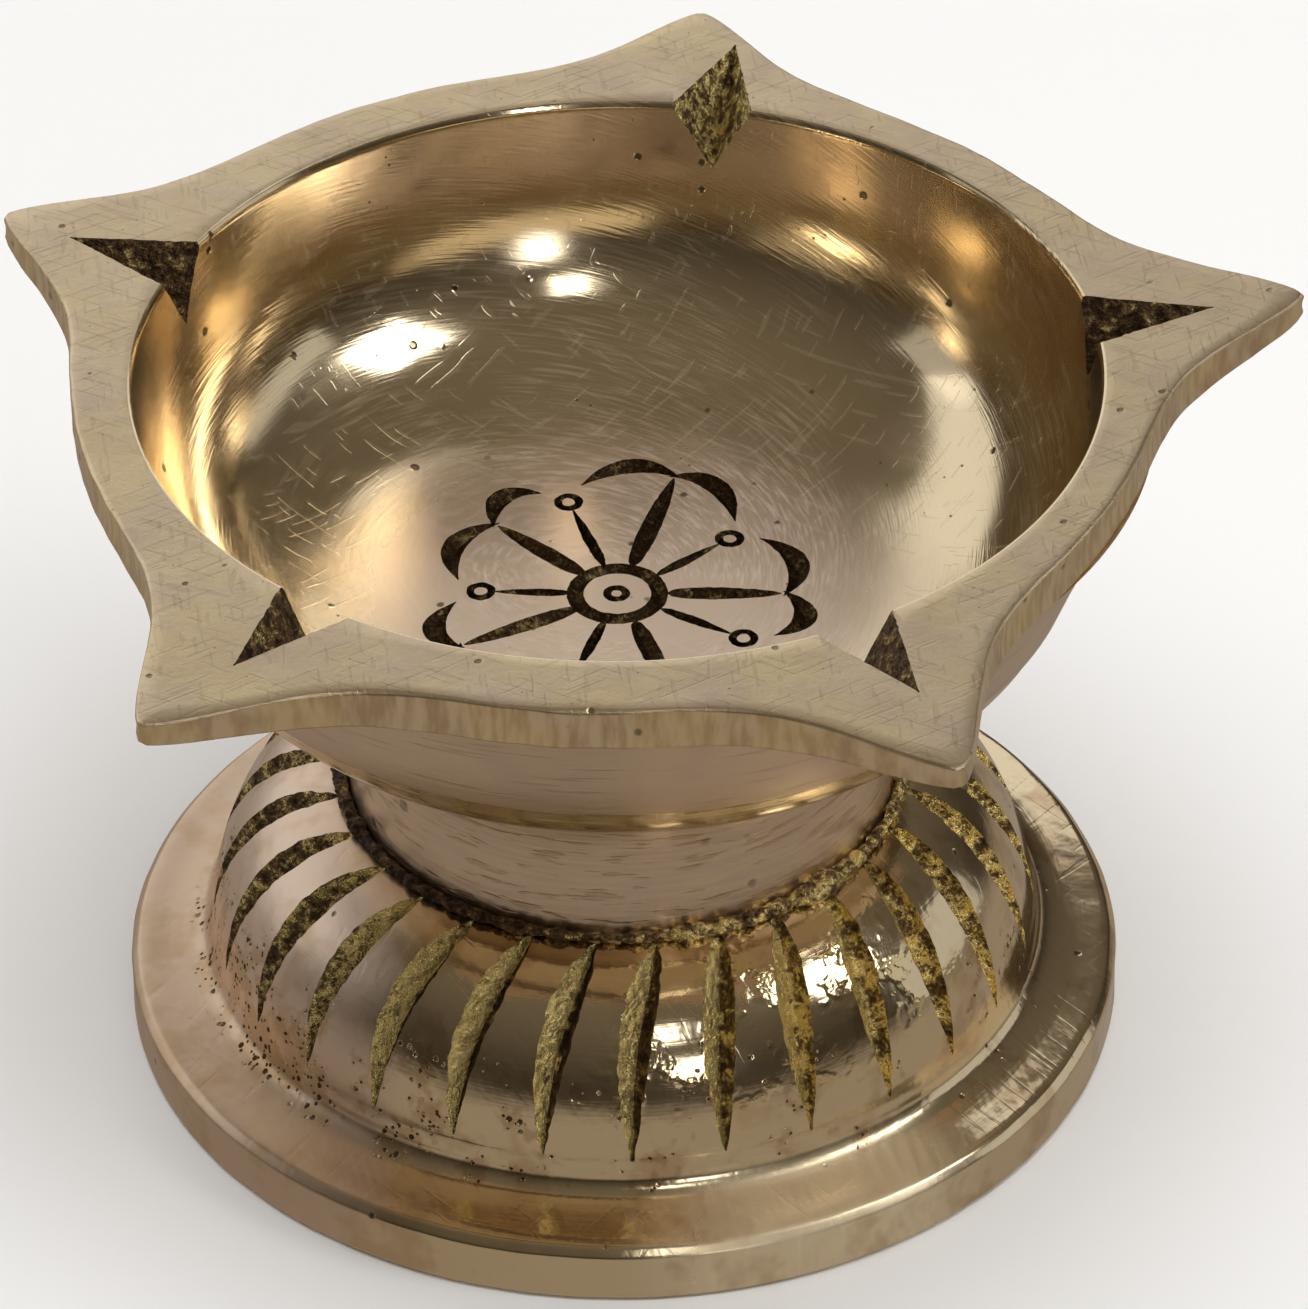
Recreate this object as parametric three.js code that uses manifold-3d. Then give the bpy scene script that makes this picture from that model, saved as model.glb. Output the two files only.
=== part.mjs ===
// A cast-brass diya: a five-pointed oil bowl screwed onto a fluted, hollow foot.
// Millimetres, +Z up, the middle of the foot on the table at the origin.

import * as THREE from 'three';
import { mergeVertices } from 'three/addons/utils/BufferGeometryUtils.js';
import Module from 'manifold-3d';

const wasm = await Module();
wasm.setup();

// Driving dimensions.
const HEIGHT = 46.8;
const BOWL_RADIUS = 29;
const BOWL_DEPTH = 16.9;
const RIM_THICKNESS = 2.9;
const NECK_RADIUS = 17;
const NECK_BOTTOM = 16.7;
const NECK_TOP = 26.1;
const DOME_RADIUS = 25.9;
const DOME_BOTTOM = 5;
const FLANGE_RADIUS = 31.1;
const FLANGE_EDGE = 3.9;
const WALL = 3.2;
const STUD_RADIUS = 3;
const CLEARANCE = 0.3;
const FLUTE_COUNT = 29;

// The star was cast and filed by hand, so its points differ: where each points, how far
// it reaches from the axis, where its wick notch points, and how far out the rounded edge
// between it and the next point lies, in degrees and millimetres.
const STAR_POINTS = [
  { angle: 93.3, reach: 40.1, notch: 89.2, edge: 33.2 },
  { angle: 166.8, reach: 41.4, notch: 168, edge: 32.5 },
  { angle: 243.4, reach: 43.7, notch: 244.6, edge: 33.8 },
  { angle: 307.2, reach: 43.6, notch: 308.9, edge: 32.1 },
  { angle: 381.1, reach: 42.2, notch: 380.2, edge: 32.2 },
];
const POINT_SPREAD = 8.3;
const POINT_SHARPNESS = 1.38;
const NOTCH_LENGTH = 7.4;
const NOTCH_WIDTH = 5;
const NOTCH_DEPTH = 4.3;

// Sides of the large and the small turned shapes.
const TURNS = 60;
const SMALL_TURNS = 30;

const FLOOR = HEIGHT - BOWL_DEPTH;
const HOLE_RADIUS = STUD_RADIUS + CLEARANCE;
const FLOOR_RADIUS = 0.42 * BOWL_RADIUS;
const WALL_RADIUS = BOWL_RADIUS - 0.4;
const CORNER_TOP = 40.6;
const BLANK_RADIUS = 47;
const BOSS_RADIUS = 6.5;
const BOSS_BOTTOM = 19.5;
const WEB_BOTTOM = NECK_BOTTOM - 3.5;
const WASHER_THICKNESS = 1.1;
const NUT_TOP = WEB_BOTTOM - WASHER_THICKNESS;
const NUT_HEIGHT = 4.8;
const STUD_BOTTOM = NUT_TOP - NUT_HEIGHT - 2;

const radians = THREE.MathUtils.degToRad;
const { lerp } = THREE.MathUtils;

// Merges shared vertices, drops collapsed triangles and turns the faces outwards.
function weld(geometry) {
  geometry.deleteAttribute('normal');
  geometry.deleteAttribute('uv');
  const merged = mergeVertices(geometry, 1e-4);
  const place = merged.attributes.position;
  const corner = [new THREE.Vector3(), new THREE.Vector3(), new THREE.Vector3()];
  const faces = [];
  let volume = 0;
  for (let i = 0; i < merged.index.count; i += 3) {
    const face = [0, 1, 2].map((k) => merged.index.getX(i + k));
    if (new Set(face).size === 3) {
      face.forEach((vertex, k) => corner[k].fromBufferAttribute(place, vertex));
      volume += corner[0].dot(corner[1].clone().cross(corner[2]));
      faces.push(face);
    }
  }
  const outward = volume > 0 ? faces : faces.map(([a, b, c]) => [a, c, b]);
  merged.setIndex(outward.flat());
  return merged;
}

function toSolid(geometry) {
  const welded = weld(geometry);
  return new wasm.Manifold(new wasm.Mesh({
    numProp: 3,
    vertProperties: new Float32Array(welded.attributes.position.array),
    triVerts: new Uint32Array(welded.index.array),
  }));
}

function toGeometry(solid) {
  const mesh = solid.getMesh();
  const geometry = new THREE.BufferGeometry();
  geometry.setAttribute('position', new THREE.BufferAttribute(mesh.vertProperties, 3));
  geometry.setIndex(new THREE.BufferAttribute(mesh.triVerts, 1));
  return geometry;
}

// Turns a profile of [radius, height] points about the Z axis.
function turned(profile, sides) {
  const points = profile.map(([radius, height]) => new THREE.Vector2(radius, height));
  return new THREE.LatheGeometry(points, sides).rotateX(Math.PI / 2);
}

// A turned ring, whose profile closes on itself.
function turnedRing(profile, sides) {
  return turned([...profile, profile[0]], sides);
}

// Part of an ellipse, between two angles in degrees from its widest point.
function ellipseArc(centreR, centreZ, radiusR, radiusZ, from, to, steps) {
  return Array.from({ length: steps + 1 }, (_, i) => {
    const angle = radians(lerp(from, to, i / steps));
    return [centreR + radiusR * Math.cos(angle), centreZ + radiusZ * Math.sin(angle)];
  });
}

// Foot: a hollow casting with a flange, a dome and a flat web that the stud passes through.

const DOME_WIDE = DOME_RADIUS - NECK_RADIUS;
const DOME_HIGH = NECK_BOTTOM - DOME_BOTTOM;

const FLUTE_WIDTH = 1.9;
const FLUTE_DEPTH = 1;
const FLUTE_TOP = 85;
const FLUTE_END = 10;
const FLUTE_SLANT = -5.5;
const FLUTE_BULGE = -2;
const FLUTE_PHASE = 2.4;

// A pointed leaf that lies along the dome and leans as it goes down.
function fluteCutter(turn) {
  const leaf = new THREE.SphereGeometry(1, 5, 7);
  const place = leaf.attributes.position;
  for (let i = 0; i < place.count; i++) {
    const along = (1 - place.getY(i)) / 2;
    const climb = radians(lerp(FLUTE_TOP, FLUTE_END, along));
    const normal = new THREE.Vector2(Math.cos(climb) / DOME_WIDE, Math.sin(climb) / DOME_HIGH);
    normal.setLength(place.getZ(i) * FLUTE_DEPTH);
    const radius = NECK_RADIUS + DOME_WIDE * Math.cos(climb) + normal.x;
    const lean = along * FLUTE_SLANT + Math.sin(Math.PI * along) * FLUTE_BULGE;
    const angle = radians(turn + lean) + place.getX(i) * FLUTE_WIDTH / 2 / radius;
    const height = DOME_BOTTOM + DOME_HIGH * Math.sin(climb) + normal.y;
    place.setXYZ(i, radius * Math.cos(angle), radius * Math.sin(angle), height);
  }
  return toSolid(leaf);
}

function flutedFoot() {
  const casting = toSolid(turnedRing([
    [HOLE_RADIUS, NECK_BOTTOM],
    ...ellipseArc(NECK_RADIUS, DOME_BOTTOM, DOME_WIDE, DOME_HIGH, 90, 0, 8),
    [DOME_RADIUS + 0.5, FLANGE_EDGE + 0.7],
    [DOME_RADIUS + 1.6, FLANGE_EDGE + 0.3],
    [FLANGE_RADIUS - 0.6, FLANGE_EDGE],
    [FLANGE_RADIUS, FLANGE_EDGE - 0.4],
    [FLANGE_RADIUS, 0.3],
    [FLANGE_RADIUS - 0.3, 0],
    [FLANGE_RADIUS - WALL, 0],
    [FLANGE_RADIUS - WALL - 0.6, 1],
    ...ellipseArc(NECK_RADIUS - 1.5, DOME_BOTTOM - 1, DOME_WIDE - 1.6, WEB_BOTTOM - 4, 0, 90, 4),
    [HOLE_RADIUS, WEB_BOTTOM],
  ], TURNS));
  const step = 360 / FLUTE_COUNT;
  const cutters = Array.from({ length: FLUTE_COUNT }, (_, i) => fluteCutter(FLUTE_PHASE + i * step));
  return toGeometry(cutters.reduce((foot, cutter) => foot.subtract(cutter), casting));
}

// Neck: a turned collar between the foot and the bowl, and the brazing round its lower edge.

function neckCollar() {
  const bore = BOSS_RADIUS + 0.5;
  return weld(turnedRing([
    [bore, NECK_BOTTOM],
    [NECK_RADIUS, NECK_BOTTOM],
    [NECK_RADIUS - 0.2, lerp(NECK_BOTTOM, NECK_TOP, 0.25)],
    [NECK_RADIUS - 0.4, lerp(NECK_BOTTOM, NECK_TOP, 0.5)],
    [NECK_RADIUS - 0.3, lerp(NECK_BOTTOM, NECK_TOP, 0.75)],
    [NECK_RADIUS + 0.1, NECK_TOP],
    [bore, NECK_TOP],
  ], TURNS));
}

function brazeFillet() {
  const inner = NECK_RADIUS + 0.1;
  return weld(turnedRing([
    [inner, NECK_BOTTOM + 0.1],
    [inner + 1.6, NECK_BOTTOM - 0.1],
    [inner + 1.2, NECK_BOTTOM + 0.55],
    [inner + 0.5, NECK_BOTTOM + 0.95],
    [inner, NECK_BOTTOM + 1.2],
  ], TURNS));
}

// Bowl: a round bowl whose thick rim spreads into a five-pointed star.

// Each point of the star rises out of the rounded edge and fades into it on both sides.
function rimRadius(angle, edge) {
  return STAR_POINTS.reduce((radius, point) => {
    const apart = Math.abs(((angle - point.angle + 540) % 360) - 180);
    const share = Math.exp(-((apart / POINT_SPREAD) ** POINT_SHARPNESS));
    return radius + (point.reach - edge) * share;
  }, edge);
}

// The outline's angles crowd together towards each point of the star, and its edge blends
// into the one before and the one after.
function rimOutline() {
  const steps = 20;
  const crowding = 0.85;
  const outline = [];
  STAR_POINTS.forEach((point, i) => {
    const before = STAR_POINTS.at(i - 1);
    const next = STAR_POINTS[(i + 1) % STAR_POINTS.length];
    const sweep = (next.angle - point.angle + 360) % 360;
    for (let k = 0; k < steps; k++) {
      const share = k / steps;
      const wave = Math.sin(2 * Math.PI * share) / (2 * Math.PI);
      const angle = point.angle + sweep * (share - crowding * wave);
      const neighbour = share < 0.5 ? before : next;
      const edge = lerp(point.edge, neighbour.edge, Math.cos(Math.PI * share) ** 2 / 2);
      const radius = rimRadius(angle, edge);
      const turn = radians(angle);
      outline.push(new THREE.Vector2(radius * Math.cos(turn), radius * Math.sin(turn)));
    }
  });
  return outline;
}

// A three-sided notch that deepens from its outer end towards the middle of the bowl.
function notchCutter(angle) {
  const outer = BOWL_RADIUS + NOTCH_LENGTH;
  const over = 1;
  const spread = (NOTCH_WIDTH / 2) * (1 + over / NOTCH_DEPTH);
  const section = new THREE.Shape();
  section.moveTo(-spread, over);
  section.lineTo(0, -NOTCH_DEPTH);
  section.lineTo(spread, over);
  const wedge = new THREE.ExtrudeGeometry(section, { depth: 1, bevelEnabled: false });
  const place = wedge.attributes.position;
  const inner = BOWL_RADIUS - 4;
  for (let i = 0; i < place.count; i++) {
    const reach = place.getZ(i) > 0.5 ? inner : outer - 0.05;
    const grow = (outer - reach) / NOTCH_LENGTH;
    const drop = place.getY(i) > 0 ? over : -NOTCH_DEPTH * grow;
    const half = place.getX(i) * grow;
    place.setXYZ(i, reach, half, HEIGHT + drop);
  }
  return toSolid(wedge.rotateZ(radians(angle)));
}

function starBowl() {
  const cast = toSolid(turned([
    [0, NECK_TOP + 0.3],
    [HOLE_RADIUS, NECK_TOP + 0.3],
    [HOLE_RADIUS, BOSS_BOTTOM],
    [BOSS_RADIUS, BOSS_BOTTOM],
    [BOSS_RADIUS, NECK_TOP],
    [NECK_RADIUS + 0.4, NECK_TOP],
    [NECK_RADIUS + 1, NECK_TOP + 0.8],
    [20.5, 28.1],
    [23, 29.7],
    [25.05, 31.15],
    [26.5, 32.6],
    [27.6, 34.6],
    [28.7, 37.3],
    [29.8, 40],
    [30.7, 42.6],
    [31.2, HEIGHT - RIM_THICKNESS - 0.1],
    [33, HEIGHT - RIM_THICKNESS],
    [BLANK_RADIUS, HEIGHT - RIM_THICKNESS + 1.7],
    [BLANK_RADIUS, HEIGHT],
    [BOWL_RADIUS, HEIGHT],
    ...ellipseArc(FLOOR_RADIUS, CORNER_TOP, WALL_RADIUS - FLOOR_RADIUS, CORNER_TOP - FLOOR, 0, -90, 8),
    [0, FLOOR],
  ], TURNS));
  const prism = new THREE.ExtrudeGeometry(new THREE.Shape(rimOutline()), {
    depth: HEIGHT,
    bevelEnabled: false,
  });
  const star = cast.intersect(toSolid(prism.translate(0, 0, BOSS_BOTTOM - 1)));
  return toGeometry(STAR_POINTS.reduce((bowl, point) => bowl.subtract(notchCutter(point.notch)), star));
}

// Fastening: a stud through the foot's web, held from below by a washer and a nut.

function joiningStud() {
  const chamfer = 0.6;
  const top = NECK_TOP - 0.3;
  return weld(turned([
    [0, STUD_BOTTOM],
    [STUD_RADIUS - chamfer, STUD_BOTTOM],
    [STUD_RADIUS, STUD_BOTTOM + chamfer],
    [STUD_RADIUS, top - chamfer],
    [STUD_RADIUS - chamfer, top],
    [0, top],
  ], SMALL_TURNS));
}

function studWasher() {
  return weld(turnedRing([
    [HOLE_RADIUS, NUT_TOP],
    [7, NUT_TOP],
    [7, WEB_BOTTOM],
    [HOLE_RADIUS, WEB_BOTTOM],
  ], SMALL_TURNS));
}

function studNut() {
  const acrossFlats = 10;
  const corners = Array.from({ length: 6 }, (_, i) => {
    const turn = (i * Math.PI) / 3;
    const radius = acrossFlats / 2 / Math.cos(Math.PI / 6);
    return new THREE.Vector2(radius * Math.cos(turn), radius * Math.sin(turn));
  });
  const hexagon = new THREE.Shape(corners);
  hexagon.holes.push(new THREE.Path().absarc(0, 0, HOLE_RADIUS, 0, 2 * Math.PI, true));
  const nut = new THREE.ExtrudeGeometry(hexagon, {
    depth: NUT_HEIGHT,
    bevelEnabled: false,
    curveSegments: 24,
  });
  return weld(nut.translate(0, 0, NUT_TOP - NUT_HEIGHT));
}

// Assembly.

const POLISHED_BRASS = { color: 0xc9a45c, roughness: 0.25, metalness: 1 };
const SATIN_BRASS = { color: 0xb59a74, roughness: 0.4, metalness: 1 };
const ROUGH_BRASS = { color: 0x8a713a, roughness: 0.7, metalness: 1 };
const TURNED_BRASS = { color: 0xbf9c55, roughness: 0.35, metalness: 1 };

function named(name, geometry, finish) {
  geometry.computeVertexNormals();
  const mesh = new THREE.Mesh(geometry, new THREE.MeshStandardMaterial(finish));
  mesh.name = name;
  return mesh;
}

const pedestal = new THREE.Group();
pedestal.add(
  named('fluted_foot', flutedFoot(), SATIN_BRASS),
  named('neck_collar', neckCollar(), SATIN_BRASS),
  named('braze_fillet', brazeFillet(), ROUGH_BRASS),
  named('joining_stud', joiningStud(), TURNED_BRASS),
  named('stud_washer', studWasher(), TURNED_BRASS),
  named('stud_nut', studNut(), TURNED_BRASS),
);

const bowl = new THREE.Group();
bowl.add(named('star_bowl', starBowl(), POLISHED_BRASS));

const group = new THREE.Group();
group.add(pedestal, bowl);

export default group;
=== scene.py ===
"""A cast-brass diya: a five-pointed oil bowl on a fluted foot, made as finished meshes.

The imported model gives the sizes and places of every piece. Profiles are written in millimetres
about the lamp's axis, which is the Z axis, and become metres when a mesh is made.
"""

import math

import bmesh
import bpy
import numpy as np
from bpy.props import FloatProperty, FloatVectorProperty, IntProperty, PointerProperty
from mathutils import Matrix, Vector, noise


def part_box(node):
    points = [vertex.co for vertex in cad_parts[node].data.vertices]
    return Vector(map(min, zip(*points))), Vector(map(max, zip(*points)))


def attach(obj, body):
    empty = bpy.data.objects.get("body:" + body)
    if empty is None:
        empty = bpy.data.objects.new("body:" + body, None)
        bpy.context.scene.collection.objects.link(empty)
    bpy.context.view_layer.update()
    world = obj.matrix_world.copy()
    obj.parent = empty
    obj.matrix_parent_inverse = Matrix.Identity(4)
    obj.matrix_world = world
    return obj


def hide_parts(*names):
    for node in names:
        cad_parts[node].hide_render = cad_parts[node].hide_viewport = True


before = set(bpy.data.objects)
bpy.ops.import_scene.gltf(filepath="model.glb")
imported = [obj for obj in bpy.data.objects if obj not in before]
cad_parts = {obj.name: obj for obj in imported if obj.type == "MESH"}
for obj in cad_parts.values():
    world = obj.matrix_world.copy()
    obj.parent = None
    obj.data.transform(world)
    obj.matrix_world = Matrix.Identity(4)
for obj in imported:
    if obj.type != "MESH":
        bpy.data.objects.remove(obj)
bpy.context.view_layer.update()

bl_info = {
    "name": "Brass Diya",
    "version": (1, 0, 0),
    "blender": (4, 5, 0),
    "location": "3D View > Sidebar > Diya",
    "description": "Makes a cast-brass oil lamp with a star-shaped bowl on a fluted foot",
    "category": "Add Mesh",
}

MM = 0.001
PEDESTAL = "pedestal"
BOWL = "bowl"


def box_mm(node):
    """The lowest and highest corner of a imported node, in millimetres."""
    low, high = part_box(node)
    return low / MM, high / MM


BOWL_LOW, BOWL_HIGH = box_mm("star_bowl")
FOOT_HIGH = box_mm("fluted_foot")[1]
COLLAR_HIGH = box_mm("neck_collar")[1]
STUD_LOW, STUD_HIGH = box_mm("joining_stud")
WASHER_LOW, WASHER_HIGH = box_mm("stud_washer")
NUT_LOW, NUT_HIGH = box_mm("stud_nut")

# How many sides the turned pieces have.
BOWL_SIDES = 480
FOOT_SIDES = 432
NECK_SIDES = 256
BRAZE_SIDES = 720
STUD_SIDES = 36
WASHER_SIDES = 96
NUT_SIDES = 144

# The bowl.
RIM_TOP = BOWL_HIGH.z
RIM_THICKNESS = 2.9
BOWL_RADIUS = 29.0
BOWL_DEPTH = 16.9
BOWL_FLOOR = RIM_TOP - BOWL_DEPTH
FLOOR_RADIUS = 0.42 * BOWL_RADIUS
BOSS_RADIUS = 6.5
BOSS_BOTTOM = BOWL_LOW.z

# How far out the drum's wall meets the star plate.
PLATE_ROOT = 32.2

# The bowl's finishes, and the numbers of those that its outline uses.
BOWL_FINISHES = ("polished_bowl", "ground_rim", "filed_edge", "turned_drum", "notch_cast", "dark_groove")
INSIDE, TOP, EDGE, UNDER = range(4)

# Each point of the star: where it points, how far it reaches, where its wick notch points and
# how far out the rounded edge after it lies. It was filed by hand, so no two are alike.
STAR_POINTS = (
    (93.3, 40.1, 89.2, 33.2),
    (166.8, 41.4, 168.0, 32.5),
    (243.4, 43.7, 244.6, 33.8),
    (307.2, 43.6, 308.9, 32.1),
    (381.1, 42.2, 380.2, 32.2),
)
POINT_SPREAD = 8.3
POINT_SHARPNESS = 1.38

# The chased flower on the bowl's floor: the strokes between the petals and the strokes that end
# in a loop, each as its angle and how far out it ends.
LONG_STROKES = ((10.6, 9.9), (85.4, 12.5), (147.6, 10.4), (219.3, 10.7), (298.5, 10.6))
LOOP_STROKES = ((50.7, 8.8), (119.5, 10.1), (188.6, 8.5), (262.5, 8.7), (339.6, 8.8))

# The foot and the neck.
NECK_BOTTOM = FOOT_HIGH.z
NECK_TOP = COLLAR_HIGH.z
NECK_RADIUS = COLLAR_HIGH.x - 0.1
FLANGE_RADIUS = FOOT_HIGH.x
FLANGE_EDGE = 3.9
DOME_RADIUS = FLANGE_RADIUS - 5.2
DOME_BOTTOM = 5.0
WALL = 3.2
WEB_BOTTOM = WASHER_HIGH.z
STUD_RADIUS = STUD_HIGH.x
HOLE_RADIUS = STUD_RADIUS + 0.3

# The camera, in bowl radii: how far away it stands, and the point it aims at.
CAMERA_DISTANCE = 15.5
CAMERA_AIM = (0.071, 0, 0.870)

# The round floor: its radius in metres, and how far it lies under the foot in millimetres.
FLOOR_SPREAD = 3.0
FLOOR_GAP = 0.02

# The softboxes: azimuth from the camera's side and elevation in degrees, distance and size in
# metres, radiance, and whether the polished metal shows them.
SOFTBOXES = {
    "side_window": (72, 43, 0.7, (0.21, 0.27), 6.0, True),
    "front_window_high": (13, 40, 0.7, (0.10, 0.14), 3.6, True),
    "front_window_low": (19, 17, 0.7, (0.10, 0.16), 4.2, True),
    "back_glow": (215, 22, 1.2, (2.4, 1.0), 0.8, True),
    "back_window": (169, 48, 1.2, (0.26, 0.14), 0.8, True),
    "left_glow": (-92, 18, 1.2, (0.5, 0.5), 0.4, True),
    "right_glow": (98, 12, 1.2, (0.8, 0.6), 0.5, True),
    "fill": (0, 88, 1.5, (1.6, 1.6), 2.9, False),
}


# Numbers and curves.


def fade(low, high, value):
    """A smooth step from 0 at low to 1 at high."""
    share = np.clip((value - low) / (high - low), 0, 1)
    return share * share * (3 - 2 * share)


def ripple(points, size, seed=0.0):
    """Smooth noise between -1 and 1 at each point, in lumps of about that size."""
    shift = Vector((seed, seed * 1.7, seed * 0.6))
    return np.array([noise.noise(Vector(point) / size + shift) for point in points])


def curve_through(points, steps):
    """A smooth curve through the points, with that many steps between each two."""
    knots = np.array(points, float)
    padded = np.vstack([2 * knots[0] - knots[1], knots, 2 * knots[-1] - knots[-2]])
    made = []
    for a, b, c, d in zip(padded, padded[1:], padded[2:], padded[3:]):
        for share in np.arange(steps) / steps:
            made.append(0.5 * (
                2 * b
                + (c - a) * share
                + (2 * a - 5 * b + 4 * c - d) * share ** 2
                + (3 * b - a - 3 * c + d) * share ** 3
            ))
    made.append(knots[-1])
    return [tuple(point) for point in made]


def ellipse_arc(centre, radii, start, end, steps):
    """Points on an ellipse, from one angle to another in degrees from its widest side."""
    angles = np.radians(np.linspace(start, end, steps + 1))
    return [(centre[0] + radii[0] * math.cos(a), centre[1] + radii[1] * math.sin(a)) for a in angles]


class Profile:
    """A turned outline: points of radius and height, each stretch with the number of its finish."""

    def __init__(self, start):
        self.points = [tuple(start)]
        self.bands = []

    def to(self, *points, band=0):
        """Goes on through the points."""
        for point in points:
            self.points.append(tuple(point))
            self.bands.append(band)
        return self

    def rounded(self, cuts, steps=5):
        """The same outline with its corners rounded; cuts holds {point number: cut length}."""
        points = [np.array(point, float) for point in self.points]
        made = Profile(points[0])
        for i in range(1, len(points)):
            corner = points[i]
            cut = cuts.get(i, 0)
            if cut and i + 1 < len(points):
                back = points[i - 1] - corner
                ahead = points[i + 1] - corner
                first = corner + back / np.linalg.norm(back) * cut
                last = corner + ahead / np.linalg.norm(ahead) * cut
                made.to(first, band=self.bands[i - 1])
                for share in np.linspace(0, 1, steps + 1)[1:]:
                    bend = first * (1 - share) ** 2 + corner * 2 * share * (1 - share) + last * share ** 2
                    made.to(bend, band=self.bands[i] if share > 0.5 else self.bands[i - 1])
            else:
                made.to(corner, band=self.bands[i - 1])
        return made


# Meshes.


def mesh_object(name, mesh, materials):
    """A linked object at the origin, with its faces pointing out and its finishes in their slots."""
    shape = bmesh.new()
    shape.from_mesh(mesh)
    bmesh.ops.remove_doubles(shape, verts=shape.verts, dist=0.001 * MM)
    bmesh.ops.dissolve_degenerate(shape, edges=shape.edges, dist=0.0005 * MM)
    bmesh.ops.recalc_face_normals(shape, faces=shape.faces)
    shape.to_mesh(mesh)
    shape.free()
    for material in materials:
        mesh.materials.append(material)
    made = bpy.data.objects.new(name, mesh)
    bpy.context.scene.collection.objects.link(made)
    return made


def grid_faces(count, sides, closed):
    """The faces between rows of points; closed joins the last row to the first as well."""
    faces = []
    for i in range(count if closed else count - 1):
        low = i * sides
        high = (i + 1) % count * sides
        for k in range(sides):
            after = (k + 1) % sides
            faces.append((low + k, low + after, high + after, high + k))
    return faces


def skin(name, grid, faces):
    """A mesh from a grid of points in millimetres."""
    mesh = bpy.data.meshes.new(name)
    mesh.from_pydata((grid.reshape(-1, 3) * MM).tolist(), [], faces)
    return mesh


def turned(name, rows, bands, materials, closed=True):
    """A piece from rows of points, each one turn round the axis, and each band's finish number."""
    grid = np.array(rows, float)
    count, sides = grid.shape[:2]
    faces = grid_faces(count, sides, closed)
    mesh = skin(name, grid, faces)
    finish = [band for band in bands for _ in range(sides)]
    mesh.polygons.foreach_set("material_index", finish[:len(faces)])
    return mesh_object(name, mesh, materials)


def turn_row(radius, height, sides):
    """One turn of points at that radius and height, which are numbers or one number per side."""
    angles = np.arange(sides) * (2 * math.pi / sides)
    height = np.full(sides, height, float) if np.isscalar(height) else height
    return np.column_stack([radius * np.cos(angles), radius * np.sin(angles), height])


def turned_profile(name, profile, sides, materials, shape=None):
    """Turns a closed profile; shape may move the whole grid of points before it becomes a mesh."""
    rows = np.array([turn_row(radius, height, sides) for radius, height in profile.points])
    if shape is not None:
        rows = shape(rows)
    return turned(name, rows, profile.bands + [profile.bands[-1]], materials)


def gouge(name, path, up, half_width, depth, section, over, roughness=0.0, seed=0.0, closed=False):
    """A closed cutter swept along a path: section holds (across, down) from one side to the other.

    up is the way out of the metal, for the whole path or for each of its points. half_width and
    depth give one number for each point, over is how far the cutter stands above the surface,
    and roughness tears its walls by that many millimetres.
    """
    path = np.array(path, float)
    up = np.broadcast_to(up, path.shape)
    ahead = np.roll(path, -1, 0) - np.roll(path, 1, 0) if closed else np.gradient(path, axis=0)
    ahead /= np.linalg.norm(ahead, axis=1)[:, None]
    side = np.cross(up, ahead)
    side /= np.linalg.norm(side, axis=1)[:, None]
    across = np.array([point[0] for point in section])
    down = np.array([point[1] for point in section])
    rise = np.where(down < 0, over, 0.0)[None, :] * np.minimum(1, depth / depth.max() * 3)[:, None]
    sink = np.maximum(down, 0)[None, :] * depth[:, None]
    wide = across[None, :] * half_width[:, None]
    grid = path[:, None] + side[:, None] * wide[..., None] + up[:, None] * (rise - sink)[..., None]
    if roughness:
        flat = grid.reshape(-1, 3)
        tear = ripple(flat, 0.45, seed) + 0.6 * ripple(flat, 0.2, seed + 5)
        away = flat - np.repeat(path, len(section), 0)
        away /= np.maximum(np.linalg.norm(away, axis=1), 1e-6)[:, None]
        weight = np.repeat(np.minimum(1, depth / depth.max() * 1.5), len(section))
        grid = (flat + away * (tear * roughness * weight)[:, None]).reshape(grid.shape)
    count, corners = grid.shape[:2]
    faces = grid_faces(count, corners, closed)
    if not closed:
        faces.append(tuple(range(corners)))
        faces.append(tuple((count - 1) * corners + k for k in reversed(range(corners))))
    return skin(name, grid, faces)


def joined(name, meshes, material):
    """One object from several meshes that don't touch, all of one finish."""
    shape = bmesh.new()
    for mesh in meshes:
        shape.from_mesh(mesh)
        bpy.data.meshes.remove(mesh)
    whole = bpy.data.meshes.new(name)
    shape.to_mesh(whole)
    shape.free()
    return mesh_object(name, whole, [material])


def replace_mesh(piece):
    """Gives the piece the mesh that its modifiers make, and takes the modifiers off."""
    bpy.context.view_layer.update()
    evaluated = piece.evaluated_get(bpy.context.evaluated_depsgraph_get())
    mesh = bpy.data.meshes.new_from_object(evaluated)
    piece.modifiers.clear()
    old = piece.data
    name = old.name
    piece.data = mesh
    bpy.data.meshes.remove(old)
    mesh.name = name


def carve(piece, cutters):
    """Cuts each cutter out of the piece and keeps the cutter's finish on the cut faces."""
    for cutter in cutters:
        before = len(piece.data.polygons)
        cut = piece.modifiers.new("carve", "BOOLEAN")
        cut.operation = "DIFFERENCE"
        cut.solver = "MANIFOLD"
        cut.material_mode = "TRANSFER"
        cut.object = cutter
        replace_mesh(piece)
        if len(piece.data.polygons) == before:
            raise RuntimeError(f"{cutter.name} did not cut {piece.name}")
        leftover = cutter.data
        bpy.data.objects.remove(cutter)
        bpy.data.meshes.remove(leftover)


def finish_piece(piece, body, node, sharp=32):
    """Smooths the piece's shading up to its sharp edges, gives it its body and hides the imported node
    that it replaces.
    """
    piece.data.shade_smooth()
    piece.data.set_sharp_from_angle(angle=math.radians(sharp))
    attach(piece, body)
    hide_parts(node)


# Node trees.


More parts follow.
